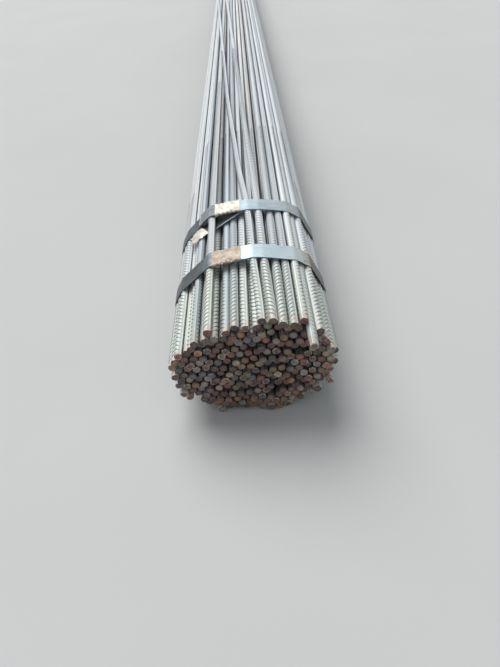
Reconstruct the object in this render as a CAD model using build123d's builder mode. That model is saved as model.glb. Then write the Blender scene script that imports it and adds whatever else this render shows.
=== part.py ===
from build123d import *
import math
import os
import random

# Bundle of ribbed reinforcing bars held by flat steel straps. Lengths are in millimetres.
# The bars run along Y, the seen end faces -Y, and the bundle lies on a level floor at Z = 0.

os.makedirs("parts", exist_ok=True)

# Bars
bar_diameter = 10.0
bar_length = 6000.0
rib_height = 0.45
outer_bar_sides = 16
inner_bar_sides = 10

# Section of the bundle
section_width = 214.0
section_height = 154.0
top_shift = 36.0
shift_growth = 3.0
outline_fullness = 2.15
flat_base_width = 95.0
base_row_offset = -3.0
closest_gap = 0.35
widest_gap = 0.9
disorder_seed = 46

# Bar ends
end_raggedness = 6.0
long_bar_overhang = 31.0
long_bar_across = 72.0
long_bar_depth = 21.0

# Loose bars on top: places across, and for each crossing bar its (distance, place across)
raised_bar_across = -50.0
settling_length = 600.0
crossing_bars_across = [13.0, 23.0]
crossing_ways = [
    [(20.0, None), (121.0, 8.0), (252.0, 5.5), (300.0, 3.0), (380.0, -5.0), (820.0, -28.0), (2500.0, -88.0)],
    [(20.0, None), (121.0, 22.0), (252.0, 21.0), (595.0, 9.0), (2400.0, -43.0)],
]

# Straps, by the distance of their middles from the bundle's seen end
strap_width = 32.0
strap_thickness = 0.9
first_strap_distance = 137.0
second_strap_distance = 268.0
strap_overlap = 3.0
second_strap_overlap = 22.0

# Seals
seal_length = 38.0
seal_thickness = 0.8
seal_clearance = 0.1
seal_lip = 11.0
seal_corner_gap = 4.0
notch_width = 3.0
notch_depth = 2.5
notch_spacing = 13.0

# Loose tail of the second strap
tail_angle = 27.0
tail_centre_across = -6.0
tail_tip_across = -80.0

# Derived sizes
bar_radius = bar_diameter / 2
closest_reach = bar_diameter + closest_gap
widest_reach = bar_diameter + widest_gap
strap_inside = bar_radius + rib_height
strap_outside = strap_inside + strap_thickness
half_width = section_width / 2 - strap_outside
base_row_half = flat_base_width / 2 - bar_diameter
base_fall = (1 - (base_row_half / half_width) ** outline_fullness) ** (1 / outline_fullness)
half_height = (section_height - 2 * strap_outside) / (1 + base_fall)
middle_height = half_height * base_fall
base_bar_count = round(2 * flat_base_width / (closest_reach + widest_reach))
chance = random.Random(disorder_seed)


def random_reach():
    """Distance between the middles of two bars that lie against each other."""
    return chance.uniform(closest_reach, widest_reach)


def inside_section(x, z):
    """Whether a bar with its middle here stays in the bundle's outline, whose top is pushed aside."""
    up = (z - middle_height) / half_height
    across = (x - top_shift * max(0.0, up) ** shift_growth) / half_width
    return z >= 0 and abs(across) ** outline_fullness + abs(up) ** outline_fullness <= 1


def is_clear(x, z, bars):
    """Whether a bar here keeps clear of all the bars already laid."""
    return all(math.hypot(x - a, z - b) >= closest_reach - 1e-6 for a, b in bars)


def hollows_between(first, second, reach):
    """The two places where a bar touches both of two others."""
    half = math.dist(first, second) / 2
    if half == 0 or half >= reach:
        return []
    rise = math.sqrt(reach**2 - half**2) / (2 * half)
    middle_x = (first[0] + second[0]) / 2
    middle_z = (first[1] + second[1]) / 2
    along_x = second[0] - first[0]
    along_z = second[1] - first[1]
    return [
        (middle_x - side * rise * along_z, middle_z + side * rise * along_x)
        for side in (1, -1)
    ]


# The bars are laid from the bottom up, each into the lowest hollow between two others
def lay_pile():
    """Middles of the bars in the bundle's section, the lowest row at height 0."""
    bars = []
    hollows = []

    def lay(spot):
        near = [other for other in bars if math.dist(spot, other) < 2 * widest_reach]
        bars.append(spot)
        for other in near:
            for x, z in hollows_between(spot, other, random_reach()):
                if inside_section(x, z):
                    hollows.append((z, x))
        hollows[:] = [(z, x) for z, x in hollows if is_clear(x, z, bars)]

    row = [0.0]
    while len(row) < base_bar_count:
        row.append(row[-1] + random_reach())
    for x in row:
        lay((x - row[-1] / 2 + base_row_offset, 0.0))
    while hollows:
        z, x = min(hollows)
        lay((x, z))
    return bars


def hull(points):
    """Corners of the tight loop round a set of points, anticlockwise."""
    ordered = sorted(set(points))
    loop = []
    for run in (ordered, ordered[::-1]):
        chain = []
        for point in run:
            while len(chain) > 1 and turn(chain[-2], chain[-1], point) <= 0:
                chain.pop()
            chain.append(point)
        loop += chain[:-1]
    return loop


def turn(a, b, c):
    """Positive where the way from a by b to c turns left."""
    return (b[0] - a[0]) * (c[1] - a[1]) - (b[1] - a[1]) * (c[0] - a[0])


def top_of(points):
    """The taut line over a set of points, from left to right."""
    ordered = sorted(points)
    chain = []
    for point in ordered:
        while len(chain) > 1 and turn(chain[-2], chain[-1], point) >= 0:
            chain.pop()
        chain.append(point)
    return chain


def crossing_of(first, second):
    """Where two straight stretches meet when they are made longer."""
    (x0, z0), (x1, z1) = first
    (x2, z2), (x3, z3) = second
    if (x1, z1) == (x2, z2):
        return (x1, z1)
    slope = (z1 - z0) / (x1 - x0)
    other_slope = (z3 - z2) / (x3 - x2)
    x = (z2 - z0 + slope * x0 - other_slope * x2) / (slope - other_slope)
    return (x, z0 + slope * (x - x0))


def corners_over(line, shortest):
    """Few corners that stay on or over a taut line, where its long straight stretches meet."""
    stretches = list(zip(line, line[1:]))
    long_ones = [
        stretch
        for i, stretch in enumerate(stretches)
        if i in (0, len(stretches) - 1) or stretch[1][0] - stretch[0][0] > shortest
    ]
    corners = [crossing_of(first, second) for first, second in zip(long_ones, long_ones[1:])]
    return [line[0]] + corners + [line[-1]]


def height_on(line, across):
    """Height of a taut line at a place across it."""
    for (x0, z0), (x1, z1) in zip(line, line[1:]):
        if x0 <= across <= x1:
            return z0 + (z1 - z0) * (across - x0) / (x1 - x0)
    return line[0][1] if across < line[0][0] else line[-1][1]


def distance_from(line, point):
    """Shortest distance from a taut line to a point."""
    distances = []
    for (x0, z0), (x1, z1) in zip(line, line[1:]):
        length = math.dist((x0, z0), (x1, z1))
        part = ((point[0] - x0) * (x1 - x0) + (point[1] - z0) * (z1 - z0)) / length**2
        part = min(1.0, max(0.0, part))
        foot = (x0 + part * (x1 - x0), z0 + part * (z1 - z0))
        distances.append(math.dist(point, foot))
    return min(distances)


def resting_height(across, bars):
    """Lowest height at which a bar at this place across lies on the bars under it."""
    heights = [
        z + math.sqrt(closest_reach**2 - (across - x) ** 2)
        for x, z in bars
        if abs(across - x) < closest_reach
    ]
    return max(heights)


def top_hollow(across, bars):
    """The hollow on top of the pile that is nearest to a place across."""
    spots = []
    for i, first in enumerate(bars):
        for second in bars[:i]:
            if math.dist(first, second) < 2 * closest_reach:
                for x, z in hollows_between(first, second, closest_reach + 0.2):
                    if z > middle_height and is_clear(x, z, bars):
                        spots.append((abs(x - across), x, z))
    return min(spots)[1:]


def nearest(bars, across, height):
    """The bar nearest to a place in the section."""
    return min(bars, key=lambda bar: math.dist(bar, (across, height)))


def place_at(route, y):
    """Where in the section a loose bar lies at a distance along the bundle."""
    for (x0, y0, z0), (x1, y1, z1) in zip(route, route[1:]):
        if y0 <= y <= y1:
            part = (y - y0) / (y1 - y0)
            return (x0 + (x1 - x0) * part, z0 + (z1 - z0) * part)
    return (route[0][0], route[0][2])


# Bars of the bundle
pile = lay_pile()
sideways = (min(x for x, z in pile) + max(x for x, z in pile)) / 2
pile = [(x - sideways, z + strap_outside) for x, z in pile]
middle_height += strap_outside
pile_top = max(z for x, z in pile)
near_end = -bar_length / 2

crossing_spots = []
for across in crossing_bars_across:
    spot = nearest([bar for bar in pile if bar[0] >= across - bar_radius], across, pile_top)
    pile.remove(spot)
    crossing_spots.append(spot)
straight_bars = pile
raised_spot = top_hollow(raised_bar_across, straight_bars + crossing_spots)

# Bars that cross over the others
def crossing_route(spot, way, bars):
    """Way of a bar that leaves its place and lies slantwise over its neighbours."""
    rest = top_hollow(way[-1][1], bars)
    stations = [(distance, across) for distance, across in way]
    stations[0] = (stations[0][0], spot[0])
    stations[-1] = (stations[-1][0], rest[0])

    def across_at(distance):
        for (d0, x0), (d1, x1) in zip(stations, stations[1:]):
            if d0 <= distance <= d1:
                return x0 + (x1 - x0) * (distance - d0) / (d1 - d0)
        return spot[0]

    start = stations[0][0]
    end = stations[-1][0]
    steps = 240
    step = (end - start) / steps
    heights = [(start, spot[1]), (end, rest[1])]
    for i in range(1, steps):
        distance = start + i * step
        heights.append((distance, resting_height(across_at(distance), bars)))
    corners = corners_over(top_of(heights), 2.5 * step)
    bends = [(distance, height_on(corners, distance)) for distance, across in stations[1:-1]]
    route = [(spot[0], near_end, spot[1])]
    for distance, height in sorted(corners + bends):
        route.append((across_at(distance), near_end + distance, height))
    route.append((rest[0], near_end + bar_length, rest[1]))
    return route


carriers = straight_bars + [raised_spot]
crossing_routes = []
for spot, way in zip(crossing_spots, crossing_ways):
    crossing_routes.append(crossing_route(spot, way, carriers))
    carriers = carriers + [(crossing_routes[-1][-1][0], crossing_routes[-1][-1][2])]

# The raised bar is lifted a little where the loose tail lies under it
tail_slope = math.tan(math.radians(tail_angle))
tail_half_span = strap_width / 2 / math.cos(math.radians(tail_angle))
tail_under_raised = (
    near_end + second_strap_distance - (tail_centre_across - raised_spot[0]) * tail_slope
)
tail_crossings = [
    place_at(route, near_end + second_strap_distance) for route in crossing_routes
]
bars_under_tail = straight_bars + tail_crossings
crest_line = top_of(bars_under_tail)
raised_lift = 0.0
while (
    distance_from(crest_line, (raised_spot[0], raised_spot[1] + raised_lift))
    < strap_outside + closest_gap + bar_radius
):
    raised_lift += 0.01
first_strap_front = near_end + first_strap_distance - strap_width / 2
lift_at_first_strap = raised_lift * first_strap_distance / second_strap_distance
lifts = [
    (near_end, 0.0),
    (first_strap_front, lift_at_first_strap),
    (first_strap_front + strap_width, lift_at_first_strap),
    (tail_under_raised - tail_half_span, raised_lift),
    (tail_under_raised + tail_half_span, raised_lift),
    (tail_under_raised + settling_length, 0.0),
    (near_end + bar_length, 0.0),
]
raised_route = [(raised_spot[0], y, raised_spot[1] + lift) for y, lift in sorted(lifts)]

# Ragged ends
long_bar = nearest(straight_bars, long_bar_across, pile_top + bar_radius - long_bar_depth)
end_shifts = {}
for bar in straight_bars:
    end_shifts[bar] = chance.triangular(-end_raggedness, end_raggedness)
end_shifts[long_bar] = -long_bar_overhang
loose_shifts = [chance.triangular(-end_raggedness, end_raggedness) for i in range(3)]
all_shifts = list(end_shifts.values()) + loose_shifts
lengthways = (min(all_shifts) + max(all_shifts)) / 2


def is_hidden(bar):
    """Whether a bar has others on all its sides."""
    around = sorted(
        math.atan2(z - bar[1], x - bar[0])
        for x, z in straight_bars
        if 0 < math.dist(bar, (x, z)) < 1.5 * bar_diameter
    )
    openings = [b - a for a, b in zip(around, around[1:] + [around[0] + 2 * math.pi])]
    return max(openings) < math.radians(110)


hidden_bars = [bar for bar in straight_bars if is_hidden(bar)]
outer_bars = [bar for bar in straight_bars if not is_hidden(bar)]


def middles(bars):
    """Places of straight bars with their own ragged ends."""
    return [(x, end_shifts[(x, z)] - lengthways, z) for x, z in bars]


def corner_radius(sides):
    """Corner radius of a many-sided bar with the steel section of a round one."""
    return bar_radius * math.sqrt(2 * math.pi / (sides * math.sin(2 * math.pi / sides)))


def straight_bar(sides):
    """One many-sided bar along Y."""
    with BuildPart(mode=Mode.PRIVATE) as bar:
        with BuildSketch(Plane.XZ):
            RegularPolygon(corner_radius(sides), sides)
        extrude(amount=bar_length / 2, both=True)
    return bar.part


# Inner bars
with BuildPart() as inner_bars:
    with Locations(*middles(hidden_bars)):
        add(straight_bar(inner_bar_sides))
inner_bars.part.label = "inner_bars"

# Outer bars
with BuildPart() as outer_bar_layer:
    with Locations(*middles(outer_bars)):
        add(straight_bar(outer_bar_sides))
outer_bar_layer.part.label = "outer_bars"


# Loose bars, along their routes
def shifted(route, shift):
    """A route with its two ends moved along the bundle."""
    first = (route[0][0], route[0][1] + shift - lengthways, route[0][2])
    last = (route[-1][0], route[-1][1] + shift - lengthways, route[-1][2])
    between = [(x, y - lengthways, z) for x, y, z in route[1:-1]]
    return [first] + between + [last]


def loose_bar(route):
    """A bar along a line of slightly bent stretches."""
    with BuildPart(mode=Mode.PRIVATE) as bar:
        for point in route:
            with BuildSketch(Plane(origin=point, x_dir=(1, 0, 0), z_dir=(0, -1, 0))):
                RegularPolygon(corner_radius(outer_bar_sides), outer_bar_sides)
        loft(ruled=True)
    return bar.part


with BuildPart() as raised_bar:
    add(loose_bar(shifted(raised_route, loose_shifts[0])))
raised_bar.part.label = "raised_bar"

with BuildPart() as crossing_bars:
    for route, shift in zip(crossing_routes, loose_shifts[1:]):
        add(loose_bar(shifted(route, shift)))
crossing_bars.part.label = "crossing_bars"


# Straps: tight loops round the bars, with a flat underside on the floor
strap_distances = [
    first_strap_distance,
    second_strap_distance,
    bar_length / 2,
    bar_length - second_strap_distance,
    bar_length - first_strap_distance,
]


def section_at(distance):
    """Middles of all the bars where a strap goes round them."""
    y = near_end + distance
    loose = [place_at(route, y) for route in [raised_route] + crossing_routes]
    return straight_bars + loose


def strap_plane(distance):
    """Upright plane across the bundle."""
    return Plane(
        origin=(0, near_end + distance - lengthways, 0), x_dir=(1, 0, 0), z_dir=(0, -1, 0)
    )


def seal_stretch(corners):
    """Left end and direction of the straight stretch beside the raised bar, or of the longest on top."""
    stretches = [
        (math.dist(corners[i], corners[i - 1]), corners[i], corners[i - 1])
        for i in range(len(corners))
        if min(corners[i][1], corners[i - 1][1]) > middle_height + half_height / 2
    ]
    beside_raised = [
        stretch
        for stretch in stretches
        if stretch[1][0] == raised_spot[0] and stretch[0] > seal_length + 2 * seal_corner_gap
    ]
    length, left, right = max(beside_raised or stretches)
    return left, ((right[0] - left[0]) / length, (right[1] - left[1]) / length)


def loop_face(corners, inside, outside):
    """Face between two loops round the same corners."""
    with BuildSketch(Plane.XY, mode=Mode.PRIVATE) as core:
        with BuildLine():
            Polyline(*corners, close=True)
        make_face()
        offset(amount=inside)
    with BuildSketch(Plane.XY, mode=Mode.PRIVATE) as band:
        with BuildLine():
            Polyline(*corners, close=True)
        make_face()
        offset(amount=outside)
        add(core.sketch, mode=Mode.SUBTRACT)
    return band.sketch


def seal_plane(distance):
    """Plane on the strap's inner face under the seal: X along the strap, Z outwards."""
    left, along = seal_stretch(hull(section_at(distance)))
    reach = seal_corner_gap + seal_length / 2
    outwards = (-along[1], along[0])
    origin = (
        left[0] + along[0] * reach + outwards[0] * strap_inside,
        near_end + distance - lengthways,
        left[1] + along[1] * reach + outwards[1] * strap_inside,
    )
    return Plane(origin=origin, x_dir=(along[0], 0, along[1]), z_dir=(outwards[0], 0, outwards[1]))


def tail():
    """Spare end of the second strap, lying on the bars' crests at a slant."""
    y = near_end + second_strap_distance - lengthways
    corners = hull(bars_under_tail)
    root = tail_crossings[0][0] + strap_width / 4
    middle = (root + tail_tip_across) / 2
    length = (root - tail_tip_across) / math.cos(math.radians(tail_angle))
    with BuildPart(mode=Mode.PRIVATE) as strip:
        with BuildSketch(strap_plane(second_strap_distance)):
            add(loop_face(corners, strap_inside, strap_outside))
        extrude(amount=2 * length, both=True)
        with BuildSketch(Plane.XY.offset(middle_height + half_height / 4)):
            with Locations((middle, y + (middle - tail_centre_across) * tail_slope)):
                Rectangle(length, strap_width, rotation=tail_angle)
            with Locations((middle, y - length)):
                Rectangle(2 * length, 2 * length + strap_width, mode=Mode.INTERSECT)
        extrude(amount=section_height, mode=Mode.INTERSECT)
    return strip.part


def strap(distance, overlap):
    """One strap, doubled under its seal and a little way past it."""
    corners = hull(section_at(distance))
    seal_middle = seal_plane(distance).origin
    left, along = seal_stretch(corners)
    doubled_left = seal_middle.X - (seal_length / 2 + overlap) * along[0]
    doubled_right = seal_middle.X + seal_length / 2 * along[0]
    doubled_middle = (doubled_left + doubled_right) / 2
    with BuildPart(mode=Mode.PRIVATE) as ring:
        with BuildSketch(strap_plane(distance)):
            add(loop_face(corners, strap_inside, strap_outside))
        extrude(amount=strap_width / 2, both=True)
        with BuildSketch(strap_plane(distance)):
            add(loop_face(corners, strap_outside, strap_outside + strap_thickness))
            with Locations((doubled_middle, middle_height + section_height / 2)):
                Rectangle(doubled_right - doubled_left, section_height, mode=Mode.INTERSECT)
        extrude(amount=strap_width / 2, both=True)
        if distance == second_strap_distance:
            add(tail())
    return ring.part


def seal(distance):
    """Folded clip round the doubled strap, open in the middle below, with notched edges."""
    inner_width = strap_width + 2 * seal_clearance
    inner_height = 2 * strap_thickness + 2 * seal_clearance
    outer_width = inner_width + 2 * seal_thickness
    outer_height = inner_height + 2 * seal_thickness
    notches = [
        (along, side * outer_width / 2)
        for along in (-notch_spacing / 2, notch_spacing / 2)
        for side in (-1, 1)
    ]
    with BuildPart(seal_plane(distance), mode=Mode.PRIVATE) as clip:
        with Locations((0, 0, strap_thickness)):
            Box(seal_length, outer_width, outer_height)
            Box(seal_length, inner_width, inner_height, mode=Mode.SUBTRACT)
        with Locations((0, 0, -seal_clearance - seal_thickness / 2)):
            Box(seal_length, strap_width - 2 * seal_lip, 2 * seal_thickness, mode=Mode.SUBTRACT)
        with Locations(*[(along, across, strap_thickness) for along, across in notches]):
            Box(notch_width, 2 * notch_depth, 2 * outer_height, mode=Mode.SUBTRACT)
    return clip.part


overlaps = [strap_overlap, second_strap_overlap, strap_overlap, strap_overlap, strap_overlap]

# Write the sub-parts
export_step(inner_bars.part, "parts/inner_bars.step")
export_step(outer_bar_layer.part, "parts/outer_bars.step")
export_step(raised_bar.part, "parts/raised_bar.step")
export_step(crossing_bars.part, "parts/crossing_bars.step")
for number, (distance, overlap) in enumerate(zip(strap_distances, overlaps), start=1):
    with BuildPart() as ring:
        add(strap(distance, overlap))
    ring.part.label = f"strap_{number}"
    export_step(ring.part, f"parts/strap_{number}.step")
    with BuildPart() as clip:
        add(seal(distance))
    clip.part.label = f"seal_{number}"
    export_step(clip.part, f"parts/seal_{number}.step")
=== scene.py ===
# %% [markdown]
# # A strapped bundle of reinforcing bars
# The solid model gives every bar, strap and seal its exact place. This scene gives them their
# looks: rolled ribs, sheared rusty ends, blued straps with kinks, crimped seals and a loose tail.
# All lengths are in metres, and the bars run along Y with the seen end at -Y.

# %% Start
import bpy
import bmesh
import math
import numpy as np
from mathutils import Matrix, Vector


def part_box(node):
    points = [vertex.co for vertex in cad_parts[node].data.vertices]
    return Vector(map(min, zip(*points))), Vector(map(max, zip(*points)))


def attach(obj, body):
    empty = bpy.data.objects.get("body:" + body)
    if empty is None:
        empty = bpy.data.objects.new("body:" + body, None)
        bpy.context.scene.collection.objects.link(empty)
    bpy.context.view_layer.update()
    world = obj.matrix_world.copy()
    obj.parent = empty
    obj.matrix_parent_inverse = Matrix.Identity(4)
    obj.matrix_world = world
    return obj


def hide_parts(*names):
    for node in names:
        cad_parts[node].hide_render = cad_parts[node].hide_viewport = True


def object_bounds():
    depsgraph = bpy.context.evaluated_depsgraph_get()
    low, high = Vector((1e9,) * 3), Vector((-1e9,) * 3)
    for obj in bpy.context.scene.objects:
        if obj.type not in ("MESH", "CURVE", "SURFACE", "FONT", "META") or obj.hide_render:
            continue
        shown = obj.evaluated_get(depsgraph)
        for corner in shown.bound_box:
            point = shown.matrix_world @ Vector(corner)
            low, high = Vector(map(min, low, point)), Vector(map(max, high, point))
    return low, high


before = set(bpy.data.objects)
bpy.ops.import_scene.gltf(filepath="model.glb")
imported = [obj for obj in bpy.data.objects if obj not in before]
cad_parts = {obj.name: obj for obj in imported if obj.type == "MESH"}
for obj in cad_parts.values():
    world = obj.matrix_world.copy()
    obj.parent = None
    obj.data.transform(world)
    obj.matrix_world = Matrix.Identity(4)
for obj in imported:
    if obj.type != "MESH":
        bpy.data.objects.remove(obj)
cad_low, cad_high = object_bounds()
print("CAD box", tuple(cad_low), tuple(cad_high))

# %% [markdown]
# ## Where the bars lie
# A node of the solid model can hold many separate bars. A bar's line could be typed in again as
# numbers, but then it would drift from the solids. Here it is read from the node: each bar is one
# island of the mesh, and the mean of each ring of corners is a point on its line.

# %% Islands of a node
def islands(node):
    """Corner places of each separate solid in a node."""
    work = bmesh.new()
    work.from_mesh(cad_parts[node].data)
    bmesh.ops.remove_doubles(work, verts=work.verts, dist=1e-6)
    seen = set()
    found = []
    for start in work.verts:
        if start in seen:
            continue
        seen.add(start)
        group = [start]
        for vert in group:
            for edge in vert.link_edges:
                other = edge.other_vert(vert)
                if other not in seen:
                    seen.add(other)
                    group.append(other)
        found.append(np.array([vert.co for vert in group]))
    work.free()
    return found


print("crossing bars in the solid model", len(islands("crossing_bars")))

# %% Bars' lines
BAR_NODES = ("inner_bars", "outer_bars", "raised_bar", "crossing_bars")


def line_of(corners):
    """Points on a bar's middle line, from the near end to the far end."""
    stations = np.unique(np.round(corners[:, 1], 5))
    return np.array([corners[np.abs(corners[:, 1] - y) < 2e-5].mean(0) for y in stations])


lines = {node: [line_of(corners) for corners in islands(node)] for node in BAR_NODES}
first_bar = lines["inner_bars"][0]
BAR_LENGTH = round(float(first_bar[-1][1] - first_bar[0][1]), 4)
for node, found in lines.items():
    print(node, len(found), "bars of", BAR_LENGTH, "m")

# %% [markdown]
# ## A ribbed bar
# A reinforcing bar is rolled with two straight ribs along it and, on each side between them, a row of
# slanted crescent ribs. Carving them out of a fine grid would take millions of faces, so the core is a
# light tube that carries the two long ribs, and each crescent is a small strip of its own with a foot
# sunk into the core.

# %% Sizes of a bar
CORE = 0.00478
RIB_TOP = 0.00542
LONG_RIB_TOP = 0.00528
PITCH = 0.0070
SLANT = 0.62
RIB_HALF_ARC = 1.30
FOOT = 0.00125
CREST = 0.00045
SUNK = 0.0003
print("ribs stand", round((RIB_TOP - CORE) * 1000, 2), "mm high, every", PITCH * 1000, "mm")


# %% Corners round a bar
# They are closer together at the two long ribs, where the radius is larger
RIB = [-0.20, -0.11, 0.11, 0.20]
FLANK = list(np.linspace(0.20, math.pi - 0.20, 9)[1:-1])
ANGLES = np.array([half + angle for half in (0, math.pi) for angle in RIB + FLANK])
FROM_RIB = np.minimum(np.mod(ANGLES, math.pi), math.pi - np.mod(ANGLES, math.pi))
RADII = np.where(FROM_RIB < 0.15, LONG_RIB_TOP, CORE)
SIDES = len(ANGLES)
print("sides of a bar", SIDES)

# %% [markdown]
# A loose bar bends a little where it lies over others. Sharp corners between straight stretches would
# look like a broken stick, so its line is rounded over a short way at each bend.

# %% A bar's line in fine steps
def bar_line(points, step=0.02, soft=0.05):
    """Finely spaced points on a bar's line, its bends rounded."""
    ys = np.arange(points[0][1], points[-1][1], step)
    ys = np.append(ys, points[-1][1])
    xs = np.interp(ys, points[:, 1], points[:, 0])
    zs = np.interp(ys, points[:, 1], points[:, 2])
    if len(points) > 2:
        for shift in (soft, -soft):
            near = np.clip(ys + shift, ys[0], ys[-1])
            xs = (xs + np.interp(near, ys, xs)) / 2
            zs = (zs + np.interp(near, ys, zs)) / 2
    return np.column_stack([xs, ys, zs])


print("points on the raised bar's line", len(bar_line(lines["raised_bar"][0])))

# %% [markdown]
# ## One mesh for many small shapes
# Thousands of ribs as objects of their own would be slow, and so is joining meshes one by one. A heap
# gathers points and faces and makes one mesh of them at the end. With each point it keeps what the
# finish needs: the angle round the bar, the distance along it, how ribbed or rusty it is, and one value
# that holds rub, scuff or crimp bites together with painted shade and painted reflection.

# %% Heap of shapes
def put(name, data):
    """A new object in the scene."""
    thing = bpy.data.objects.new(name, data)
    bpy.context.scene.collection.objects.link(thing)
    return thing


def spread(size, *values):
    """One row for each point, from values that are single or given point by point."""
    return np.column_stack([np.broadcast_to(value, size) for value in values])


class Heap:
    """Collects points, faces and facts for the finish, and makes one mesh of them."""

    def __init__(self):
        self.points = []
        self.faces = []
        self.skins = []
        self.turns = []
        self.facts = []
        self.count = 0

    def add(self, points, faces, skin=0, turn=0.0, along=0.0, tone=0.5, mark=0.0, worn=0.5):
        """mark is how ribbed a bar is there, or how rusty a strap is. worn is rub, scuff or crimp bite,
        with painted shade on bars and painted reflection on straps.
        """
        points = np.asarray(points, float)
        faces = np.asarray(faces, int)
        size = len(points)
        self.points.append(points)
        self.faces.append(np.where(faces < 0, -1, faces + self.count))
        self.skins.append(np.broadcast_to(skin, len(faces)))
        self.turns.append(spread(size, np.cos(turn), np.sin(turn), along))
        self.facts.append(spread(size, tone, mark, worn))
        self.count += size

    def mesh(self, name, materials):
        """The gathered points and faces as one mesh, kept inside the solid model's box."""
        mesh = bpy.data.meshes.new(name)
        points = np.clip(np.vstack(self.points), cad_low, cad_high)
        faces = [[i for i in face if i >= 0] for block in self.faces for face in block.tolist()]
        mesh.from_pydata(points.tolist(), [], faces)
        mesh.polygons.foreach_set("material_index", np.concatenate(self.skins).astype(np.int32))
        for title, blocks in (("turn", self.turns), ("facts", self.facts)):
            layer = mesh.attributes.new(title, "FLOAT_VECTOR", "POINT")
            layer.data.foreach_set("vector", np.vstack(blocks).astype(np.float32).ravel())
        for material in materials:
            mesh.materials.append(material)
        mesh.shade_smooth()
        mesh.set_sharp_from_angle(angle=math.radians(38))
        mesh.calc_loop_triangles()
        return mesh

    def make(self, name, materials, node, slot):
        """Puts the mesh in the scene, in the place of a node of the solid model."""
        thing = put(name, self.mesh(name, materials))
        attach(thing, "root")
        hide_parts(node)
        print(name, len(thing.data.loop_triangles), "triangles")


# %% Faces of a grid
def grid_faces(rows, columns, closed=True):
    """Four-cornered faces of a grid of points, joined round if closed."""
    i, j = np.meshgrid(np.arange(rows - 1), np.arange(columns if closed else columns - 1), indexing="ij")
    a = (i * columns + j).ravel()
    b = (i * columns + (j + 1) % columns).ravel()
    return np.column_stack([a, b, b + columns, a + columns])


print("faces between two rings of a bar", len(grid_faces(2, SIDES)))

# %% [markdown]
# ## Sheared ends
# The bars are cut with shears, so an end is never a clean disc: it is a little aslant, dented, and
# rounded at the rim. The end is closed by rings that shrink to the middle, each moved in by a tilt, a
# dish and some unevenness. They go inwards but for a hair, so a bar keeps the length of its solid.

# %% A cut end
RING_SIZES = [1.0, 1.0, 0.93, 0.62, 0.3]
RING_DEPTHS = [0.0030, 0.0006, 0.0, 0.0, 0.0]
RING_INSIDE = [0.0, 0.0, 0.25, 0.9, 1.0]
MOST_TILT = 0.13
TILT_ROOM = 0.0052
UNEVEN = 0.00016
random = np.random.default_rng(11)


def cut_rings(middle, way, angles):
    """Rings of points from the side of a bar to the middle of its cut end."""
    tilt = random.uniform(0.0, MOST_TILT)
    lean = random.uniform(0, 2 * math.pi)
    dish = random.uniform(-0.0001, 0.0006)
    waves = random.uniform(-1, 1, 3)
    rings = []
    for k, (size, depth) in enumerate(zip(RING_SIZES, RING_DEPTHS)):
        x = RADII * size * np.cos(angles)
        z = RADII * size * np.sin(angles)
        inward = depth + tilt * (TILT_ROOM + x * math.cos(lean) + z * math.sin(lean))
        if k > 0:
            ripple = np.sin(2 * angles + 4 * waves[0]) * np.cos(9 * size + 5 * waves[1])
            inward = inward + UNEVEN * (1 + ripple)
        if k > 1:
            inward = inward + dish * (1 - size) + UNEVEN / 2 * (1 + waves[2] * np.sin(3 * angles))
        rings.append(np.column_stack([middle[0] + x, middle[1] - way * inward, middle[2] + z]))
    return rings


def end_cap(heap, middle, way, roll, tone, worn):
    """Bevel and uneven face of a cut end. way is -1 at the near end and 1 at the far one."""
    rings = cut_rings(middle, way, ANGLES + roll)
    points = np.vstack(rings + [[rings[-1].mean(0)]])
    bands = grid_faces(len(rings), SIDES)
    inmost = (len(rings) - 1) * SIDES
    fan = np.array([[inmost + j, inmost + (j + 1) % SIDES, len(points) - 1, -1] for j in range(SIDES)])
    if way > 0:
        bands = bands[:, ::-1]
        fan[:, [0, 1]] = fan[:, [1, 0]]
    turn = np.append(np.tile(ANGLES, len(rings)), 0)
    inside = np.append(np.repeat(RING_INSIDE, SIDES), 1.0)
    heap.add(points, bands[:SIDES], 0, turn, 0.001, tone, 1.0, worn)
    heap.add(points, np.vstack([bands[SIDES:], fan]), 1, turn, 0.001, tone, 1.0, inside)
    return rings[0]


print("rings of a cut end", len(RING_SIZES))

# %% [markdown]
# The core needs rings of corners only where its line bends or where the real ribs stop, because
# everything between is straight. Its two long ribs are rubbed more, so they get a brighter value.

# %% Core of a bar
END_ZONE = 0.006


def bar_core(heap, points, roll, tone, ribbed_to, worn, first_rib):
    """The tube of a bar, from one cut end to the other."""
    near = end_cap(heap, points[0], -1, roll, tone, worn)
    far = end_cap(heap, points[-1], 1, roll, tone, worn)
    start, end = points[0][1], points[-1][1]
    between = points[(points[:, 1] > start + END_ZONE) & (points[:, 1] < end - END_ZONE)]
    ring = np.column_stack([RADII * np.cos(ANGLES + roll), 0 * RADII, RADII * np.sin(ANGLES + roll)])
    tube = np.vstack([near, *[point + ring for point in between], far])
    rows = len(between) + 2
    along = tube[:, 1] - start - first_rib
    ribbed = np.clip((ribbed_to - first_rib - along) / 0.004, 0, 1)
    rubbed = np.tile(worn * np.where(RADII > CORE, 1.5, 1.0), rows)
    turn = np.tile(ANGLES, rows)
    heap.add(tube, grid_faces(rows, SIDES)[:, ::-1], 0, turn, along, tone, ribbed, rubbed)


print("core is", round(2 * CORE * 1000, 2), "mm across")
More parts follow.
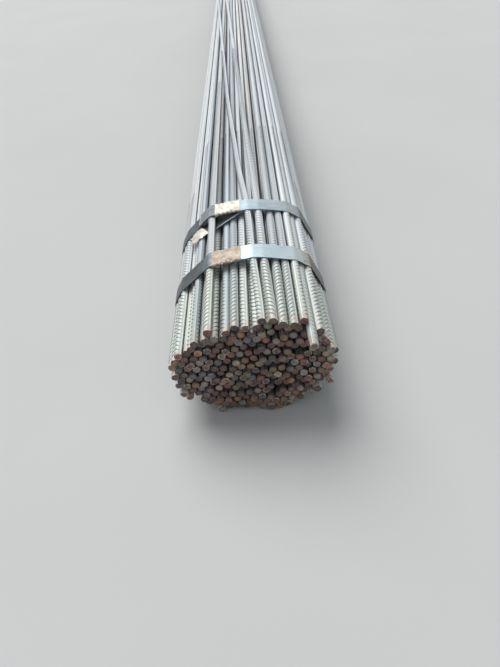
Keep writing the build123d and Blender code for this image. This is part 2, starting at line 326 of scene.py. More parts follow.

# %% [markdown]
# A crescent rib is highest in the middle of its side and dies away towards the long ribs. Four rows of
# points make its foot, two crest edges and the other foot, and it leans along the bar as it goes round.
# The crest is rubbed bright, and the foot in front of it, on the side away from the lamp, is painted
# dark as painted shade, which is what makes ribs readable from far off.

# %% Crescent ribs
def crescents(heap, points, roll, tone, ribbed_to, worn, first_rib, columns=8):
    """Slanted ribs on both sides of a bar, from the first one up to a distance from its near end."""
    starts = np.arange(first_rib, ribbed_to, PITCH)
    swing = np.linspace(-RIB_HALF_ARC, RIB_HALF_ARC, columns)
    rise = (1 - (swing / RIB_HALF_ARC) ** 2) ** 0.75
    foot = np.full(columns, CORE - SUNK)
    crest = CORE - 0.0001 + (RIB_TOP - CORE + 0.0001) * rise
    reach = np.stack([foot, crest, crest, foot])
    width = np.array([-FOOT, -CREST, CREST, FOOT])[:, None] * (0.35 + 0.65 * rise)
    bright = 0.9 + 0.6 * rise
    # The front foot gets a low value as painted shade, on the side away from the lamp; the crests' high
    # value is rub.
    rub_and_foot_shade = np.stack([np.full(columns, 0.1), bright, bright, np.full(columns, 0.4)]) * worn
    quads = grid_faces(4, columns, closed=False)[:, ::-1]
    faces = (quads[None] + (np.arange(len(starts)) * 4 * columns)[:, None, None]).reshape(-1, 4)
    for side in (0, 1):
        angle = swing + math.pi / 2 + side * math.pi
        lean = SLANT * CORE * swing * (1 - 2 * side)
        shift = starts + side * PITCH / 2
        along = shift[:, None, None] + lean + width
        y = points[0][1] + along
        x = np.interp(y, points[:, 1], points[:, 0]) + reach * np.cos(angle + roll)
        z = np.interp(y, points[:, 1], points[:, 2]) + reach * np.sin(angle + roll)
        cloud = np.stack([x, y, z], -1).reshape(-1, 3)
        turn = np.broadcast_to(angle, y.shape).ravel()
        rubbed = np.broadcast_to(rub_and_foot_shade, y.shape).ravel()
        heap.add(cloud, faces, 0, turn, along.ravel() - first_rib, tone, 1.0, rubbed)


print("crescent ribs on half a metre of a bar", 2 * len(np.arange(0, 0.5, PITCH)))

# %% [markdown]
# ## Shader helper
# Every finish below is built from nodes. A small helper makes a node, sets its constants on its own
# sockets and links the rest, so each material stays short.

# %% Node helper
EVEN = (1, 1, 1)


class Shader:
    """A material and short ways to add nodes to it."""

    def __init__(self, name):
        self.material = bpy.data.materials.new(name)
        self.material.use_nodes = True
        self.tree = self.material.node_tree
        self.body = self.tree.nodes["Principled BSDF"]

    def node(self, kind, props=None, **sockets):
        """A node with its settings and sockets. A socket is named, or given by number as i0, i1."""
        made = self.tree.nodes.new(kind)
        for key, value in (props or {}).items():
            setattr(made, key, value)
        for key, value in sockets.items():
            numbered = key[0] == "i" and key[1:].isdigit()
            self.feed(made.inputs[int(key[1:]) if numbered else key], value)
        return made

    def feed(self, socket, value):
        if hasattr(value, "is_output"):
            self.tree.links.new(value, socket)
        else:
            socket.default_value = value

    def finish(self, **sockets):
        """Feeds the sockets of the surface itself and hands back the material."""
        for name, value in sockets.items():
            self.feed(self.body.inputs[name.replace("_", " ")], value)
        print("finish", self.material.name, "with", len(self.tree.nodes), "nodes")
        return self.material

    def math(self, operation, a, b=0.0, clamp=False):
        settings = {"operation": operation, "use_clamp": clamp}
        return self.node("ShaderNodeMath", settings, i0=a, i1=b).outputs[0]

    def add(self, a, b):
        return self.math("ADD", a, b)

    def less(self, a, b, clamp=False):
        return self.math("SUBTRACT", a, b, clamp)

    def times(self, a, b, clamp=False):
        return self.math("MULTIPLY", a, b, clamp)

    def mix(self, part, a, b, blend="MIX"):
        settings = {"data_type": "RGBA", "blend_type": blend}
        return self.node("ShaderNodeMix", settings, i0=part, i6=a, i7=b).outputs[2]

    def noise(self, stretch, scale, detail=4.0, rough=0.5):
        """Noise by the place on the object, stretched per axis, which stays with it when it moves."""
        where = self.node("ShaderNodeTexCoord").outputs["Object"]
        where = self.node("ShaderNodeMapping", None, Vector=where, Scale=stretch).outputs[0]
        sockets = {"Vector": where, "Scale": scale, "Detail": detail, "Roughness": rough}
        return self.node("ShaderNodeTexNoise", None, **sockets).outputs[0]

    def ramp(self, value, stops):
        made = self.node("ShaderNodeValToRGB", None, i0=value)
        ramp = made.color_ramp
        while len(ramp.elements) < len(stops):
            ramp.elements.new(0.5)
        for element, (place, colour) in zip(ramp.elements, stops):
            element.position = place
            element.color = (*colour, 1)
        return made.outputs[0]

    def split(self, vector):
        return self.node("ShaderNodeSeparateXYZ", None, i0=vector).outputs

    def stored(self, name):
        """The three values that the mesh keeps at each point under this name."""
        return self.split(self.node("ShaderNodeAttribute", {"attribute_name": name}).outputs[1])

    def bump(self, height, distance, strength=1.0, normal=None):
        made = self.node("ShaderNodeBump", None, Height=height, Distance=distance, Strength=strength)
        if normal is not None:
            self.feed(made.inputs["Normal"], normal)
        return made.outputs[0]


print("the helper can", ", ".join(name for name in vars(Shader) if name[0] != "_"))

# %% [markdown]
# ## Mill scale
# Hot-rolled bars carry a thin blue-grey oxide skin. It is lighter where bars rub on each other, and has
# faint lengthwise streaks from the rolls and a tan bloom of early rust near the cut ends and in patches.
# Beyond the modelled ribs a bump repeats the same crescents from the stored angle and distance, so near
# and far parts of a bar match.

# %% Ribs by bump, and the line in front of each rib
# Place within the pitch of the painted shade line in front of each rib.
PAINTED_SHADE_LINE = 0.78


def rib_pattern(s, ribbed):
    """Distance along, height of the ribs that are bump, and the painted shade line at each rib's front
    foot.
    """
    cos, sin, along = s.stored("turn")
    turn = s.math("ARCTAN2", sin, cos)
    half = s.less(s.math("ABSOLUTE", turn), math.pi / 2)
    share = s.math("DIVIDE", s.math("ABSOLUTE", half), RIB_HALF_ARC)
    crescent = s.less(1.0, s.math("POWER", share, 2.0), True)
    other_side = s.less(1.0, s.math("GREATER_THAN", turn, 0.0))
    steps = s.math("DIVIDE", s.less(along, s.times(half, SLANT * CORE)), PITCH)
    phase = s.math("FRACT", s.add(steps, s.times(other_side, 0.5)))
    bumped = s.times(crescent, s.less(1.0, ribbed, True))
    wave = s.math("ABSOLUTE", s.less(phase, 0.5))
    rib = s.times(s.times(s.less(wave, 0.32), 7.0, True), bumped)
    # Painted shade: a dark line just in front of each crescent rib, on the side away from the lamp.
    line = s.less(1.0, s.times(s.math("ABSOLUTE", s.less(phase, PAINTED_SHADE_LINE)), 7.0), True)
    return along, rib, s.times(line, crescent)


print("the dark line lies at", PAINTED_SHADE_LINE, "of the pitch")

# %% [markdown]
# How light the skin looks depends on how much it is rubbed. The crests are rubbed most. The line in
# front of a rib and the flanks between neighbouring bars are painted dark as painted shade, and far
# along the bundle this painted shade on the flanks is all that parts one bar from the next. The flanks
# are found by the direction of the surface on the object itself, so they stay put from any side.

# %% Rub and colour of the scale
FLANKS_FROM = 0.25


def rub_and_painted_shade(s, worn, along, rib, line, uneven):
    """How much the skin is rubbed at each place, less painted shade at rib feet and on the bars' flanks,
    from 0 for dark to 1 for bright.
    """
    worn = s.add(worn, s.times(rib, 0.35))
    # Painted shade: a dark line in front of each rib.
    worn = s.less(worn, s.times(line, 0.36))
    worn = s.add(worn, s.times(s.less(uneven, 1.0), 0.30))
    # Painted shade: flanks that face sideways or down are darkened, more so away from the seen end.
    upwards = s.split(s.node("ShaderNodeTexCoord").outputs["Normal"])[2]
    beyond = s.times(s.less(along, FLANKS_FROM), 5.0, True)
    steepness = s.add(0.35, s.times(beyond, 0.33))
    painted_flank_shade = s.times(s.less(steepness, upwards), 1.1, True)
    return s.less(worn, s.times(painted_flank_shade, s.add(0.24, s.times(beyond, 0.32))))


def scale_colour(s, worn, tone, along):
    """Dark to bright steel, a shade for each bar, lighter and cooler away from the seen end."""
    steel = s.ramp(worn, [
        (0.0, (0.035, 0.037, 0.038)), (0.22, (0.13, 0.14, 0.143)),
        (0.5, (0.62, 0.655, 0.635)), (0.95, (0.71, 0.735, 0.715)),
    ])
    each = s.ramp(tone, [
        (0.0, (0.70, 0.75, 0.77)), (0.25, (1.0, 1.02, 0.98)), (0.5, (0.92, 0.90, 0.84)),
        (0.75, (1.10, 1.11, 1.06)), (1.0, (0.82, 0.86, 0.86)),
    ])
    farther = s.times(s.less(along, 0.06), 6.0, True)
    drift = s.mix(farther, (1.08, 1.075, 1.065, 1), (1.27, 1.24, 1.35, 1))
    return s.mix(1.0, s.mix(1.0, steel, each, "MULTIPLY"), drift, "MULTIPLY")


print("flanks between bars grow darker beyond", FLANKS_FROM, "m")

# %% [markdown]
# Rust starts where the skin is broken: at the cut ends first, for a way that differs from bar to bar,
# and in small specks anywhere. Painting it by hand would be lost when a bar moves, so it is worked out
# from the distance to the nearer end and from noise on the bar itself.

# %% Early rust and the bars' material
def early_rust(s, colour, worn, tone, along, patches):
    """Tan bloom near both ends of a bar, and brown specks."""
    from_end = s.math("MINIMUM", along, s.less(BAR_LENGTH, along))
    reach = s.times(s.math("FRACT", s.times(tone, 5.3)), 0.10)
    near_end = s.times(s.less(reach, from_end), 7.0, True)
    bloom = s.times(s.add(s.times(patches, 3.0), s.less(near_end, 1.75)), 0.8, True)
    tip = s.times(s.less(0.009, from_end), 110.0, True)
    tan = s.math("MAXIMUM", s.times(bloom, 0.32), s.times(tip, 0.5))
    colour = s.mix(s.times(tan, s.times(worn, 2.0, True)), colour, (0.56, 0.43, 0.36, 1))
    specks = s.times(s.less(s.noise((60, 22, 60), 1.0, 6.0, 0.7), 0.66), 7.0, True)
    return s.mix(s.times(specks, 0.45), colour, (0.26, 0.14, 0.08, 1))


def scale_material():
    s = Shader("mill_scale")
    tone, ribbed, worn = s.stored("facts")
    streaks = s.noise((260, 5, 260), 1.0, 3.0)
    patches = s.noise((16, 3.2, 16), 1.0, 4.0, 0.6)
    grain = s.noise(EVEN, 900.0, 3.0, 0.65)
    along, rib, line = rib_pattern(s, ribbed)
    worn = rub_and_painted_shade(s, worn, along, rib, line, s.add(streaks, grain))
    colour = early_rust(s, scale_colour(s, worn, tone, along), worn, tone, along, patches)
    rough = s.add(0.34, s.times(s.add(patches, grain), 0.14))
    relief = s.add(s.times(grain, 0.5), s.times(patches, 0.6))
    normal = s.bump(relief, 0.00012, 0.5, s.bump(rib, 0.0007))
    return s.finish(Base_Color=colour, Metallic=0.15, Roughness=rough, Normal=normal)


scale = scale_material()

# %% [markdown]
# The fresh-cut faces rust first and each in its own way: most are dark brown, some orange, red, olive
# or tan, and some still purple-grey. A random tone kept with every bar picks its shade from a ramp.
# About a third of the ends have a burr at the rim, pressed bright by the shears.

# %% Cut ends' material
def end_material():
    s = Shader("rusty_cut")
    tone, _, inside = s.stored("facts")
    blotch = s.noise(EVEN, 210.0, 5.0, 0.65)
    grain = s.noise(EVEN, 1500.0, 3.0, 0.6)
    shade = s.ramp(s.math("FRACT", s.times(tone, 7.31)), [
        (0.0, (0.09, 0.055, 0.042)), (0.13, (0.24, 0.11, 0.07)), (0.25, (0.065, 0.06, 0.068)),
        (0.35, (0.46, 0.20, 0.085)), (0.45, (0.25, 0.235, 0.135)), (0.56, (0.36, 0.10, 0.085)),
        (0.66, (0.10, 0.075, 0.07)), (0.76, (0.23, 0.21, 0.24)), (0.88, (0.60, 0.46, 0.34)),
        (1.0, (0.15, 0.08, 0.06)),
    ])
    dark = s.mix(0.62, shade, (0.030, 0.029, 0.036, 1))
    light = s.mix(0.22, shade, (0.50, 0.40, 0.34, 1))
    colour = s.mix(s.ramp(blotch, [(0.32, (0, 0, 0)), (0.7, (1, 1, 1))]), dark, light)
    burred = s.math("GREATER_THAN", s.math("FRACT", s.times(tone, 13.7)), 0.70)
    broken = s.ramp(s.noise(EVEN, 330.0, 3.0), [(0.42, (0, 0, 0)), (0.55, (1, 1, 1))])
    burr = s.times(burred, broken)
    rim = s.mix(burr, s.mix(0.5, colour, (0.02, 0.017, 0.02, 1)), (0.62, 0.53, 0.46, 1))
    relief = s.add(s.times(blotch, 1.0), s.times(grain, 0.4))
    return s.finish(
        Base_Color=s.mix(inside, rim, colour), Roughness=s.less(0.80, s.times(blotch, 0.35)),
        Metallic=s.times(burr, 0.3), Normal=s.bump(relief, 0.0006, 0.8),
    )


BAR_SKINS = [scale, end_material()]

# %% [markdown]
# ## Laying the bars
# Which bars are seen depends on how deep they lie. The tight loop round the outer bars' middles is the
# bundle's outline, and a bar's depth is its distance inside that loop. It is worked out from the bars
# themselves, so it still holds when the section changes.

# %% Outline of the bundle
def hull(points):
    """Corners of the tight loop round points, anticlockwise."""
    ordered = sorted(map(tuple, points))
    loop = []
    for run in (ordered, ordered[::-1]):
        chain = []
        for p in run:
            while len(chain) > 1:
                (ax, az), (bx, bz) = chain[-2:]
                if (bx - ax) * (p[1] - az) - (bz - az) * (p[0] - ax) > 0:
                    break
                chain.pop()
            chain.append(p)
        loop += chain[:-1]
    return loop


outline = hull([(points[0][0], points[0][2]) for points in lines["outer_bars"]])


def depth(point):
    """How far a bar lies inside the bundle's outline."""
    gaps = []
    for (ax, az), (bx, bz) in zip(outline, outline[1:] + outline[:1]):
        length = math.hypot(bx - ax, bz - az)
        gaps.append(((bx - ax) * (point[2] - az) - (bz - az) * (point[0] - ax)) / length)
    return min(gaps)


print("outline of", len(outline), "bars")

# %% [markdown]
# The bars were thrown together as they came, so each has a roll of its own. Most turn a ribbed side
# outwards and their long ribs to their neighbours. Half of them are turned over, so that the ribs that
# are seen slant the other way.

# %% Laying one bar
HEART_HEIGHT = 0.03
FLATNESS = 0.6
FIRST_RIB = 0.0045
END_STATION = 0.0071


def lay(heap, points, ribbed_to, worn=0.5):
    """One bar with its own roll, tone and rib start."""
    outwards = math.atan2(points[0][2] - HEART_HEIGHT, points[0][0] * FLATNESS)
    roll = outwards - math.pi / 2 + random.normal(0, 0.7) + math.pi * random.integers(0, 2)
    tone = random.uniform(0, 1)
    first_rib = FIRST_RIB + random.uniform(0, PITCH)
    bar_core(heap, points, roll, tone, ribbed_to, worn, first_rib)
    crescents(heap, points, roll, tone, ribbed_to, worn, first_rib)


def straight(points, ribbed_to):
    """Line of a straight bar, with a station where its modelled ribs stop."""
    near, far = points[0][1], points[-1][1]
    ribs_stop = near + ribbed_to
    stops = [near, near + END_STATION, ribs_stop - 0.004, ribs_stop + 0.001, far - END_STATION, far]
    return np.column_stack([np.interp(stops, points[:, 1], points[:, k]) for k in range(3)])


print("real ribs start within", round((FIRST_RIB + PITCH) * 1000, 1), "mm of an end")

# %% [markdown]
# The hidden inner bars show only their ends and a sliver between their neighbours. Their skin is
# painted darker the deeper they lie, as painted shade. Three centimetres of real ribs are enough.

# %% Inner bars
INNER_RIBS = 0.03
DARKEST, LIGHTEST = 0.12, 0.24
heap = Heap()
for points in lines["inner_bars"]:
    # Painted shade: the deeper the bar lies, the darker its skin is painted.
    light = np.clip(0.5 - 20 * (depth(points[0]) - 0.004), DARKEST, LIGHTEST)
    lay(heap, straight(points, INNER_RIBS), INNER_RIBS, light)
heap.make("bars_inner", BAR_SKINS, "inner_bars", "bar_steel")

# %% [markdown]
# The outer bars are seen along their length. Bars on the top are nearest to the eye and carry real ribs
# farthest, those at the sides less far, and those of the base only a little. They are made in four
# groups, so that no mesh grows too heavy. An outer bar that lies round the gap low in the section counts
# as an inner one and is painted dark too, as painted shade.

# %% Outer bars
DEEP = 0.015
TOP_FROM = (cad_low.z + cad_high.z) / 2 + 0.035
BASE_TO = 0.012
RIGHT_FROM = 0.015
RIBBED_TO = {"bars_top_left": 0.62, "bars_top_right": 0.62, "bars_side": 0.42, "bars_base": 0.12}
groups = {name: Heap() for name in RIBBED_TO}
for points in lines["outer_bars"]:
    across, _, height = points[0]
    name = "bars_base" if height < BASE_TO else "bars_side"
    if height > TOP_FROM:
        name = "bars_top_left" if across < RIGHT_FROM else "bars_top_right"
    reach = RIBBED_TO[name]
    # Painted shade: bars deep in the section get the darkest value.
    lay(groups[name], straight(points, reach), reach, 0.5 if depth(points[0]) < DEEP else DARKEST)
for name, heap in groups.items():
    heap.make(name, BAR_SKINS, "outer_bars", "bar_steel")

# %% [markdown]
# Three loose bars lie on top: one on the loose tail of a strap, and two that cross over the rest.
# They are what the eye follows along the bundle, so their ribs are real for a longer way.

# %% Loose bars
for name, node, reach in (("bar_raised", "raised_bar", 1.0), ("bars_crossing", "crossing_bars", 1.3)):
    heap = Heap()
    for points in lines[node]:
        lay(heap, bar_line(points), reach)
    heap.make(name, BAR_SKINS, node, "bar_steel")

# %% [markdown]
# ## Straps
# Each strap is one strip of blued steel pulled tight round the bundle. It bends sharply over the bars it
# lies on and runs straight between them. Its line is the tight loop round the bars' middles at that
# place, moved out by a bar's half thickness, so the strap follows the bars as they lie.

# %% A strap's loop
STRAP_WIDTH = 0.032
STRAP_THICK = 0.0009
INSIDE = 0.00545
all_lines = [points for found in lines.values() for points in found]


def section(y, wanted=all_lines):
    """Middles of the bars where a plane across the bundle cuts them."""
    return [(np.interp(y, p[:, 1], p[:, 0]), np.interp(y, p[:, 1], p[:, 2])) for p in wanted]


def loop_line(corners, reach):
    """Closely spaced points round a loop, a bar's reach outside its corners, with outward normals."""
    points, normals = [], []
    for i, corner in enumerate(corners):
        here = np.array(corner)
        first = here - np.array(corners[i - 1])
        last = np.array(corners[(i + 1) % len(corners)]) - here
        start = math.atan2(-first[0], first[1])
        bend = math.atan2(first[0] * last[1] - first[1] * last[0], first @ last)
        for part in np.linspace(0, 1, max(2, int(bend / 0.12) + 2)):
            angle = start + bend * part
            normal = np.array([math.cos(angle), math.sin(angle)])
            points.append(here + reach * normal)
            normals.append(normal)
        steps = max(1, int(np.linalg.norm(last) / 0.004))
        for part in np.arange(1, steps) / steps:
            points.append(here + reach * normal + last * part)
            normals.append(normal)
    return np.array(points), np.array(normals)


print("bars under a strap", len(hull(section(0))))

# %% [markdown]
# A strip is easiest to shape when it is asked for by distance: so far along the line, which place and
# which way out. The line is walked clockwise from a chosen place on top, and may be walked on past its
# start, because a strap overlaps itself there.

# %% Walking along the loop
class Path:
    """A line in the section's plane, walked clockwise, so that the top goes from left to right."""

    def __init__(self, corners, start_across):
        points, normals = loop_line(corners, INSIDE)
        points, normals = points[::-1], normals[::-1]
        tops = np.where(normals[:, 1] > 0.5, np.abs(points[:, 0] - start_across), 9)
        first = int(np.argmin(tops))
        self.points = np.vstack([np.roll(points, -first, 0), points[first]])
        self.normals = np.vstack([np.roll(normals, -first, 0), normals[first]])
        steps = np.linalg.norm(np.diff(self.points, axis=0), axis=1)
        self.ways = np.append(0, np.cumsum(steps + 1e-9))
        self.length = self.ways[-1]

    def at(self, way):
        """Places and normals at these distances along the line."""
        way = np.mod(way, self.length)
        where = np.column_stack([np.interp(way, self.ways, self.points[:, k]) for k in (0, 1)])
        out = np.column_stack([np.interp(way, self.ways, self.normals[:, k]) for k in (0, 1)])
        return where, out / np.linalg.norm(out, axis=1)[:, None]


def stand_on(where, out, y, rise):
    """Rows of points that stand on a line at these places, each so far outside it."""
    x = where[:, 0, None] + out[:, 0, None] * rise
    z = where[:, 1, None] + out[:, 1, None] * rise
    return np.stack([x, np.broadcast_to(y, x.shape), z], -1)


print("round the bundle it is", round(Path(hull(section(0)), 0).length, 3), "m")

# %% [markdown]
# Strips, seals and the tail are all one section swept along a line, with its shape changed a little
# from place to place. A few curves are enough for that: a soft step, a hump, and a row of notches.

# %% Curves
def smooth(value, low, high):
    """A soft step from 0 at low to 1 at high."""
    part = np.clip((value - low) / (high - low), 0, 1)
    return part * part * (3 - 2 * part)


def hump(value, middle, reach):
    """A round hump of height 1."""
    return np.exp(-(((value - middle) / reach) ** 2))


def notches(value, middles, reach):
    """A row of sharp notches, each 1 deep in its middle."""
    return sum(np.clip(1 - np.abs(value - middle) / reach, 0, 1) for middle in middles)


print("soft step at a quarter", smooth(0.25, 0, 1))

# %% Strip's section and sweep
EDGE = 0.00016


def strip_section(width, thick):
    """Corners of a strip's section as (across, out), with rolled edges."""
    half = width / 2
    rises = [(half - EDGE, 0), (half, EDGE), (half, thick - EDGE), (half - EDGE, thick)]
    inner = np.linspace(half - 0.003, -half + 0.003, 7)
    top = [(x, thick) for x in inner]
    low = [(x, 0) for x in inner[::-1]]
    other = [(-x, y) for x, y in rises[::-1]]
    return np.array(rises + top + other + low)


def sweep(heap, cloud, skins, along, tone, rust, worn):
    """Adds a swept section, given as rows of points, with both ends closed."""
    rows, columns = cloud.shape[:2]
    skins = np.broadcast_to(skins, rows)
    points = cloud.reshape(-1, 3)
    facts = {
        "along": np.repeat(along, columns), "tone": tone, "mark": np.repeat(rust, columns),
        "worn": np.broadcast_to(worn, (rows, columns)).ravel(),
    }
    heap.add(points, grid_faces(rows, columns), np.repeat(skins[1:], columns), **facts)
    ring = np.arange(columns)
    for cap, skin in ((ring[::-1], skins[0]), (ring + (rows - 1) * columns, skins[-1])):
        fan = [[cap[0], cap[i], cap[i + 1], -1] for i in range(1, columns - 1)]
        heap.add(points, fan, skin, **facts)


print("corners of a strip's section", len(strip_section(STRAP_WIDTH, STRAP_THICK)))

# %% [markdown]
# The strip's own two ends lie one on the other under the seal. The upper end shows as a step on the
# left of the seal, and on its right the upper layer comes down on the bars again. One strip that starts
# on top, goes once round and ends under itself is truer than a closed ring with a patch on it. The
# second strap's upper end is long, so it stands off at its cut edge and is crumpled.

# %% Shape of a strap
PLAY = 0.00006
SEAL_LENGTH = 0.038
LONG_OVERLAP = 0.012
STRIP_STEP = 0.0022


def strap_rise(number, stops, shape, overlap):
    """How far each point of the strip stands outside its line."""
    across = shape[None, :, 0]
    doubled = SEAL_LENGTH + overlap
    lift = (STRAP_THICK + PLAY) * (1 - smooth(stops, doubled + 0.001, doubled + 0.008))
    buckle = 0.00005 * (1 + np.sin(stops[:, None] * 160 + 3 * np.sign(across) + number))
    rise = lift[:, None] + shape[None, :, 1] - buckle * np.abs(across) * 2 / STRAP_WIDTH
    if overlap > LONG_OVERLAP:
        loose = 1 - smooth(stops, LONG_OVERLAP, overlap)
        curl = loose * (0.0004 + 0.0003 * np.sin(stops * 900)) + 0.0009 * (1 - smooth(stops, 0, 0.005))
        crumpled = 0.0002 * (1 + np.sin(stops[:, None] * 1150 + across * 420)) * loose[:, None]
        rise = rise + curl[:, None] + crumpled
    return rise


print("a strip has corners every", STRIP_STEP * 1000, "mm")

# %% [markdown]
# A strap was dragged over the bars when it was pulled tight, so its top is a little scuffed. Its top is
# painted bright to the right of the seal and in a patch left of it as painted reflection, and its sides
# are painted dark as painted reflection of the dim surround. Rust sits in a few places, most of all
# where it bends down.

# %% Wear of a strap
# Value of the strap's sides, painted dark as painted reflection.
DULL = 0.12


def strap_wear_and_painted_reflection(stops, where, out, middle, overlap, rusty, scuff_and_painted_reflection):
    """Rust, and scuff with painted reflection, along the strip. rusty holds (place across, reach,
    amount).
    """
    top = np.where(out[:, 1] > 0.1, where[:, 0], 9)
    rust = np.zeros(len(stops))
    for place, reach, amount in rusty:
        rust = np.maximum(rust, amount * hump(top, place, reach))
    # Painted reflection: tops facing up are painted bright, sides dark.
    on_top = smooth(out[:, 1], 0.55, 0.85)
    across = where[:, 0]
    right = smooth(across, middle - 0.03, middle) * (1 - 0.75 * smooth(across, 0.07, 0.1))
    worn = DULL + scuff_and_painted_reflection * on_top * right
    # Painted highlight: a bright patch just left of the seal.
    worn = np.maximum(worn, 0.45 * on_top * hump(across, middle - 0.027, 0.006))
    if overlap > LONG_OVERLAP:
        upper = 0.5 * (1 - smooth(stops, overlap, overlap + 0.002))
        worn = np.maximum(worn, np.where(stops < 0.0015, 1.4, upper))
    return rust, worn


print("rub of a strap's dull sides", DULL)


# %% One strap
def strap(number, overlap, rusty, scuff_and_painted_reflection):
    """A strap round the bundle, its line, and where its seal sits."""
    low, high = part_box(f"seal_{number}")
    y = (low.y + high.y) / 2
    middle = (low.x + high.x) / 2
    path = Path(hull(section(y)), middle - SEAL_LENGTH / 2 - overlap)
    stops = np.arange(0, path.length + SEAL_LENGTH + overlap - 0.003, STRIP_STEP)
    where, out = path.at(stops)
    shape = strip_section(STRAP_WIDTH, STRAP_THICK - PLAY)
    sway = 0.00025 * np.sin(stops * 31 + number) + 0.0002 * np.sin(stops * 83 + 2 * number)
    rise = strap_rise(number, stops, shape, overlap)
    cloud = stand_on(where, out, y + shape[None, :, 0] + sway[:, None], rise)
    rust, worn = strap_wear_and_painted_reflection(stops, where, out, middle, overlap, rusty, scuff_and_painted_reflection)
    heap = Heap()
    sweep(heap, cloud, 0, stops, random.uniform(0, 1), rust, worn[:, None])
    print("strap", number, "is", round(stops[-1], 3), "m long")
    return heap, path, y, middle


print("straps in the solid model", sum("strap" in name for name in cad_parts))

# %% [markdown]
# ## Seals
# A seal is a short open clip pushed over both layers and crimped. The crimper bites notches into its
# edges and dents the sheet beside them. It is swept along the strap from a C-shaped section, whose
# edges are pinched where the notches are; cutting holes would leave the dents out.

# %% Seal's section
SEAL_HALF = 0.01652
SEAL_LOW, SEAL_HIGH = -0.0005, 0.00245
LIP = 0.011
FOLD = 0.0008
SHEET_HALF = 0.0004
BITES = (-0.0125, -0.0065, 0.0, 0.0065, 0.0125)
DEEP_BITES = (-0.0065, 0.0065)


def seal_section():
    """Corners round the folded sheet as (across, out): lip, edge, top, edge, lip, and back inside."""
    lips = np.linspace(-SEAL_HALF + LIP, -SEAL_HALF + FOLD, 5)
    edge = [(-SEAL_HALF, SEAL_LOW + FOLD), (-SEAL_HALF, SEAL_HIGH - FOLD)]
    top = np.linspace(-SEAL_HALF + 0.0007, SEAL_HALF - 0.0007, 19)
    line = [(x, SEAL_LOW) for x in lips] + edge + [(x, SEAL_HIGH) for x in top]
    line += [(-x, y) for x, y in edge[::-1]] + [(-x, SEAL_LOW) for x in lips[::-1]]
    line = np.array(line)
    ahead = np.gradient(line, axis=0)
    out = np.column_stack([-ahead[:, 1], ahead[:, 0]])
    out /= np.linalg.norm(out, axis=1)[:, None]
    return np.vstack([line + out * SHEET_HALF, (line - out * SHEET_HALF)[::-1]])


print("corners of a seal's section", len(seal_section()))


# %% One seal
def seal(number, path, y, middle, crumple, tone):
    """A crimped clip round the doubled strap."""
    start = np.argmin(np.abs(path.points[:, 0] - middle) + 9 * (path.normals[:, 1] < 0.5))
    steps = np.linspace(-SEAL_LENGTH / 2, SEAL_LENGTH / 2, 77)
    where, out = path.at(path.ways[start] + steps)
    ring = seal_section()
    across, height = ring[None, :, 0], ring[None, :, 1]
    bite = 0.5 * notches(steps, BITES, 0.0017) + 0.7 * notches(steps, DEEP_BITES, 0.0022)
    bite = np.clip(bite, 0, 1)[:, None]
    pinch = bite * smooth(np.abs(across), 0.0105, 0.0165)
    dent = -0.0007 * bite * hump(np.abs(across), 0.0125, 0.0028)
    waves = np.sin(steps[:, None] * 610 + across * 240 + number)
    waves = waves + np.sin(steps[:, None] * 260 - across * 520 + 2.1 * number)
    upper = height > 0.0015
    rise = height + upper * (dent + crumple * (waves - 1.2))
    cloud = stand_on(where, out, y + across * (1 - 0.20 * pinch), rise)
    stain = 0.8 * (1 - tone) * smooth(-steps, 0.006, 0.02)
    heap = Heap()
    sweep(heap, cloud, 0, steps, tone, stain, 1 - 0.6 * pinch)
    return heap


print("seals in the solid model", sum("seal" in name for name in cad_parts))

# %% [markdown]
# ## Strap and seal finishes
# Strapping is blued to slow rust, so it is dark. It is painted a lighter blue where its stored value
# is high, which is painted reflection on its tops and some scuff. The bluing is never even: it drifts
# from silver to teal along the strip. Rust eats through it in ochre stains.

# %% Strap material
def strap_material():
    s = Shader("blued_strap")
    _, rust, worn = s.stored("facts")
    streaks = s.noise((90, 500, 90), 1.0, 4.0, 0.6)
    clouds = s.noise(EVEN, 42.0, 5.0, 0.62)
    grain = s.noise(EVEN, 1100.0, 3.0, 0.6)
    fine = s.noise(EVEN, 260.0, 5.0, 0.7)
    # Painted reflection and scuff together set how light the blue is.
    scuff_and_painted_reflection = s.add(worn, s.times(s.less(s.add(clouds, streaks), 1.0), 0.7))
    blue = s.ramp(scuff_and_painted_reflection, [
        (0.0, (0.045, 0.052, 0.052)), (0.25, (0.12, 0.138, 0.145)),
        (0.6, (0.27, 0.32, 0.355)), (1.0, (0.50, 0.57, 0.60)),
    ])
    sheen = s.ramp(s.noise(EVEN, 19.0, 2.0), [(0.42, (1.06, 1.02, 0.99)), (0.60, (0.93, 0.995, 1.01))])
    blue = s.mix(1.0, blue, sheen, "MULTIPLY")
    spotted = s.add(rust, s.times(s.less(fine, 0.5), 2.4))
    stain = s.times(s.less(spotted, 0.55), 2.2, True)
    ochre = s.ramp(grain, [(0.35, (0.30, 0.18, 0.09)), (0.65, (0.60, 0.44, 0.25))])
    return s.finish(
        Base_Color=s.mix(s.times(stain, 0.85), blue, ochre),
        Metallic=s.less(0.7, s.times(stain, 0.6)),
        Roughness=s.add(0.32, s.add(s.times(stain, 0.4), s.times(streaks, 0.16))),
        Normal=s.bump(s.add(clouds, s.times(grain, 0.12)), 0.0006, 0.4),
    )


blued = strap_material()

# %% [markdown]
# The seals are of another sheet than the straps, and not blued: one is peach with thin rust, another
# still cream. One material serves them all, and a tone kept with each seal says how far it has rusted.
# The places where the crimper bit stay dark.

